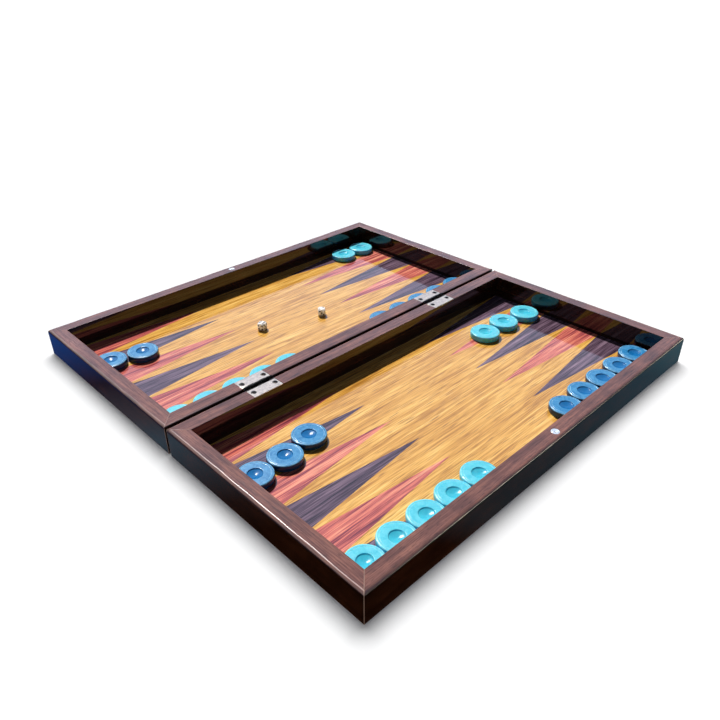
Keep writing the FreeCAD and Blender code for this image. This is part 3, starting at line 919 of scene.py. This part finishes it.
def studio_floor():
    """A plain pale floor. In reflections it is a dark table top with soft tinted bands across it."""
    ground = block("studio_floor", -FLOOR_SIZE, FLOOR_SIZE, -FLOOR_SIZE, FLOOR_SIZE, -0.02, -0.0002)
    paint = Paint("studio_floor")
    path = paint.node("ShaderNodeLightPath", {}, output=None)
    seen_directly = path.outputs["Is Camera Ray"]
    speckle = paint.noise(grey(2.0), detail=2.0)
    colour = paint.mix(seen_directly, grey(0.0), paint.mix(speckle, grey(0.80), grey(0.82)))
    diagonal = paint.math("ADD", paint.part(paint.place, 0), paint.part(paint.place, 1))
    share = paint.math("ADD", paint.math("DIVIDE", diagonal, TINTED_SPAN), 0.5)
    mirrored = paint.mix(path.outputs["Is Glossy Ray"], grey(FLOOR_BOUNCE), paint.ramp(share, FLOOR_TINTS))
    glow = paint.mix(seen_directly, mirrored, grey(FLOOR_GLOW))
    ground.data.materials.append(paint.finish(Base_Color=colour, Roughness=0.9, Specular_IOR_Level=0.0,
                                              Emission_Color=glow, Emission_Strength=1.0))
    return ground


class Sky(Nodes):
    """The world's node tree: what a ray of light meets when it leaves the set."""

    def __init__(self):
        world = bpy.data.worlds.new("studio")
        world.use_nodes = True
        bpy.context.scene.world = world
        super().__init__(world.node_tree)
        self.path = self.node("ShaderNodeLightPath", {}, output=None)
        direction = self.coordinates.outputs["Generated"]
        self.x, self.y, self.z = (self.part(direction, axis) for axis in (0, 1, 2))

    def between(self, value, low, high, soft):
        """1 where a value from -1 to 1 is inside a range, fading to 0 over a soft border."""
        share = self.math("DIVIDE", self.math("ADD", value, 1.0), 2.0)
        levels = ((low - soft, 0.0), (low, 1.0), (high, 1.0), (high + soft, 0.0))
        return self.ramp(share, [((position + 1) / 2, level) for position, level in levels])

    def towards(self, x, y):
        """How far a ray heads in a level direction, from -1 to 1."""
        return self.math("ADD", self.math("MULTIPLY", self.x, x), self.math("MULTIPLY", self.y, y))


def studio_world():
    """White to the camera and dim as fill. Reflections meet a cool dome that brightens to the left, a dark
    band under it, a low light card to the front left, and a bright horizon at the back. Second reflections
    meet only a dim dome."""
    sky = Sky()
    dome = sky.mix(sky.between(sky.x, -1.0, -0.70, 0.40), DOME, DOME_LEFT)
    dome = sky.mix(sky.between(sky.z, 0.36, 1.0, 0.08), DARK_BAND, dome)
    low = sky.between(sky.z, 0.28, 0.58, 0.06)
    card = sky.math("MULTIPLY", low, sky.between(sky.towards(-0.87, -0.49), 0.72, 1.0, 0.08))
    level = sky.between(sky.z, -1.0, 0.06, 0.03)
    horizon = sky.math("MULTIPLY", level, sky.between(sky.towards(0.6, 0.8), 0.94, 1.0, 0.05))
    mirrored = sky.mix(horizon, sky.mix(card, dome, CARD), HORIZON)
    again = sky.math("GREATER_THAN", sky.path.outputs["Glossy Depth"], 1.5)
    mirrored = sky.mix(again, mirrored, DIM_DOME)
    seen = sky.mix(sky.path.outputs["Is Glossy Ray"], FILL, mirrored)
    seen = sky.mix(sky.path.outputs["Is Camera Ray"], seen, grey(1.0))
    sky.join(seen, sky.tree.nodes["Background"].inputs["Color"])


def lamp(name, towards, strength, angle, floor, lights_floor, mirrored=True):
    """A distant studio lamp that lies in one direction and looks this many degrees wide. It lights either
    the floor alone or everything else."""
    data = bpy.data.lights.new(name, "SUN")
    data.energy = strength
    data.angle = math.radians(angle)
    data.color = LAMP_WHITE if lights_floor else LAMP_WARM
    made = scene_object(name, data)
    made.rotation_mode = "QUATERNION"
    made.rotation_quaternion = Vector(towards).to_track_quat("Z", "Y")
    made.visible_glossy = mirrored
    lit = bpy.data.collections.new(name + "_receivers")
    lit.objects.link(floor)
    made.light_linking.receiver_collection = lit
    lit.collection_objects[0].light_linking.link_state = "INCLUDE" if lights_floor else "EXCLUDE"


def camera():
    """Looks across the board from its front right corner, a little over 30 degrees down."""
    forward = Vector(CAMERA_FORWARD)
    right = forward.cross(Vector(CAMERA_UP)).normalized()
    up = right.cross(forward).normalized()
    data = bpy.data.cameras.new("camera")
    data.sensor_width = 36.0
    data.lens = CAMERA_LENS
    data.clip_start, data.clip_end = 0.01, 100.0
    made = scene_object("camera", data)
    turn = Matrix((right, up, -forward.normalized())).transposed()
    made.matrix_world = Matrix.Translation(CAMERA_PLACE) @ turn.to_4x4()
    bpy.context.scene.camera = made


floor = studio_floor()
studio_world()
lamp("key", KEY_DIRECTION, KEY, 2.0, floor, lights_floor=False)
lamp("soft_key", KEY_DIRECTION, SOFT_KEY, 45.0, floor, lights_floor=False, mirrored=False)
lamp("floor_key", FLOOR_KEY_DIRECTION, FLOOR_KEY, 42.0, floor, lights_floor=True)
camera()
bpy.context.scene.view_settings.view_transform = "Standard"
